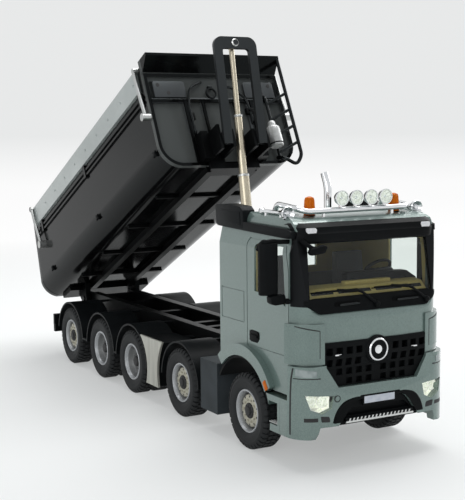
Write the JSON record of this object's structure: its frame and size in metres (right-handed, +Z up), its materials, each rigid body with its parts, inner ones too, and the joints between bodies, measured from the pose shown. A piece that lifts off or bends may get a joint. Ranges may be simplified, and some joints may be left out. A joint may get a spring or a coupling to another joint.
{
  "type": "tipper truck model",
  "caption": "Scale model of a heavy tipper truck with a raised half-pipe load bed, telescopic lifting cylinder, steered front axles, rolling wheels and an opening tailgate.",
  "frame": {"origin": "on the ground under the middle of the model's bounding box", "axes": "+X forward, +Y to the truck's left, +Z up"},
  "size_m": [0.2036, 0.0608, 0.1165],
  "materials": {
    "grey_paint": "metallic grey paint",
    "black_gloss": "glossy black paint",
    "black_frame": "satin black paint",
    "black_moulding": "satin black moulding",
    "bed_silver": "silver grey paint",
    "polished_panel": "brushed",
    "bare_steel": "satin",
    "bright_chrome": "polished",
    "rim_silver": "silver paint",
    "tyre_rubber": "matte",
    "clear_glass": "clear",
    "amber_lens": "translucent amber",
    "tan_trim": "satin tan"
  },
  "bodies": {
    "chassis": {"chassis_frame": "black_frame", "steered_axles": "black_frame", "axle_housings": "black_frame", "spring_packs": "black_frame", "engine_block": "black_frame", "front_fenders": "black_moulding", "rear_fenders": "black_moulding", "side_boxes": "black_moulding", "side_panels": "polished_panel", "side_tanks": "black_moulding", "tail_board": "black_moulding", "bumper": "grey_paint", "bumper_guard": "black_moulding", "skid_bar": "bare_steel", "head_lamps": "clear_glass", "cab_steps": "grey_paint", "wheel_flares": "grey_paint", "arch_liners": "black_moulding", "cab_shell": "grey_paint", "cab_windows": "clear_glass", "cab_interior": "tan_trim", "wiper_panel": "black_moulding", "grille": "black_moulding", "sun_visor": "black_moulding", "roof_fairings": "black_gloss", "corner_deflectors": "grey_paint", "mirrors": "black_moulding", "light_bar": "bright_chrome", "beacons": "amber_lens", "exhaust_stack": "bright_chrome"},
    "bed": {"bed_shell": "black_gloss", "bed_frame": "black_frame", "bed_covers": "bed_silver", "tarp_levers": "bed_silver", "bed_ladder": "black_gloss", "bottle": "bed_silver"},
    "gate": {"tailgate": "black_gloss"},
    "lifting_yoke": {"yoke": "black_frame"},
    "barrel": {"cylinder_barrel": "bare_steel"},
    "stage_one": {"cylinder_stage_1": "bare_steel"},
    "stage_two": {"cylinder_stage_2": "bare_steel"},
    "lift_rod": {"cylinder_rod": "bare_steel"},
    "knuckle_1l_body": {"knuckle_1l": "black_frame"},
    "wheel_1l": {"tyre_1l": "tyre_rubber", "rim_1l": "rim_silver"},
    "knuckle_1r_body": {"knuckle_1r": "black_frame"},
    "wheel_1r": {"tyre_1r": "tyre_rubber", "rim_1r": "rim_silver"},
    "knuckle_2l_body": {"knuckle_2l": "black_frame"},
    "wheel_2l": {"tyre_2l": "tyre_rubber", "rim_2l": "rim_silver"},
    "knuckle_2r_body": {"knuckle_2r": "black_frame"},
    "wheel_2r": {"tyre_2r": "tyre_rubber", "rim_2r": "rim_silver"},
    "wheelset_3": {"tyres_3": "tyre_rubber", "wheels_3": "rim_silver"},
    "wheelset_4": {"tyres_4": "tyre_rubber", "wheels_4": "rim_silver"},
    "wheelset_5": {"tyres_5": "tyre_rubber", "wheels_5": "rim_silver"}
  },
  "joints": [
    {"name": "bed_tilt", "type": "hinge", "parent": "chassis", "child": "bed", "pos_m": [-0.07864, 0, 0.0215], "axis": [0, -1, 0], "range_deg": [-26, 20]},
    {"name": "gate_swing", "type": "hinge", "parent": "bed", "child": "gate", "pos_m": [-0.10066, 0, 0.05615], "axis": [0, 1, 0], "range_deg": [0, 60]},
    {"name": "yoke_swing", "type": "hinge", "parent": "bed", "child": "lifting_yoke", "pos_m": [0.02918, 0, 0.08444], "axis": [0, -1, 0], "range_deg": [-14, 18]},
    {"name": "ram_swing", "type": "hinge", "parent": "chassis", "child": "barrel", "pos_m": [0.04036, 0, 0.016], "axis": [0, -1, 0], "range_deg": [-14, 11]},
    {"name": "ram_stage_1", "type": "slide", "parent": "barrel", "child": "stage_one", "axis": [-0.1769, 0, 0.9842], "range_m": [-0.0178, 0.0137]},
    {"name": "ram_stage_2", "type": "slide", "parent": "stage_one", "child": "stage_two", "axis": [-0.1769, 0, 0.9842], "range_m": [-0.0178, 0.0137]},
    {"name": "ram_stage_3", "type": "slide", "parent": "stage_two", "child": "lift_rod", "axis": [-0.1769, 0, 0.9842], "range_m": [-0.0178, 0.0137]},
    {"name": "steer_1l", "type": "hinge", "parent": "chassis", "child": "knuckle_1l_body", "pos_m": [0.07286, 0.0172, 0.0106], "axis": [0, 0, 1], "range_deg": [-8, 8]},
    {"name": "spin_1l", "type": "hinge", "parent": "knuckle_1l_body", "child": "wheel_1l", "pos_m": [0.07286, 0.0211, 0.0106], "axis": [0, 1, 0], "continuous": true},
    {"name": "steer_1r", "type": "hinge", "parent": "chassis", "child": "knuckle_1r_body", "pos_m": [0.07286, -0.0172, 0.0106], "axis": [0, 0, 1], "range_deg": [-8, 8]},
    {"name": "spin_1r", "type": "hinge", "parent": "knuckle_1r_body", "child": "wheel_1r", "pos_m": [0.07286, -0.0211, 0.0106], "axis": [0, 1, 0], "continuous": true},
    {"name": "steer_2l", "type": "hinge", "parent": "chassis", "child": "knuckle_2l_body", "pos_m": [0.03216, 0.0172, 0.0106], "axis": [0, 0, 1], "range_deg": [-8, 8]},
    {"name": "spin_2l", "type": "hinge", "parent": "knuckle_2l_body", "child": "wheel_2l", "pos_m": [0.03216, 0.0211, 0.0106], "axis": [0, 1, 0], "continuous": true},
    {"name": "steer_2r", "type": "hinge", "parent": "chassis", "child": "knuckle_2r_body", "pos_m": [0.03216, -0.0172, 0.0106], "axis": [0, 0, 1], "range_deg": [-8, 8]},
    {"name": "spin_2r", "type": "hinge", "parent": "knuckle_2r_body", "child": "wheel_2r", "pos_m": [0.03216, -0.0211, 0.0106], "axis": [0, 1, 0], "continuous": true},
    {"name": "spin_3", "type": "hinge", "parent": "chassis", "child": "wheelset_3", "pos_m": [-0.00434, 0, 0.0106], "axis": [0, 1, 0], "continuous": true},
    {"name": "spin_4", "type": "hinge", "parent": "chassis", "child": "wheelset_4", "pos_m": [-0.03134, 0, 0.0106], "axis": [0, 1, 0], "continuous": true},
    {"name": "spin_5", "type": "hinge", "parent": "chassis", "child": "wheelset_5", "pos_m": [-0.06054, 0, 0.0106], "axis": [0, 1, 0], "continuous": true}
  ],
  "couplings": [
    {"joint": "yoke_swing", "follows": "bed_tilt", "ratio": -0.68},
    {"joint": "ram_swing", "follows": "bed_tilt", "ratio": 0.528},
    {"joint": "ram_stage_1", "follows": "bed_tilt", "m_per_rad": 0.03904},
    {"joint": "ram_stage_2", "follows": "bed_tilt", "m_per_rad": 0.03904},
    {"joint": "ram_stage_3", "follows": "bed_tilt", "m_per_rad": 0.03904},
    {"joint": "steer_1r", "follows": "steer_1l", "ratio": 1},
    {"joint": "steer_2r", "follows": "steer_2l", "ratio": 1}
  ]
}
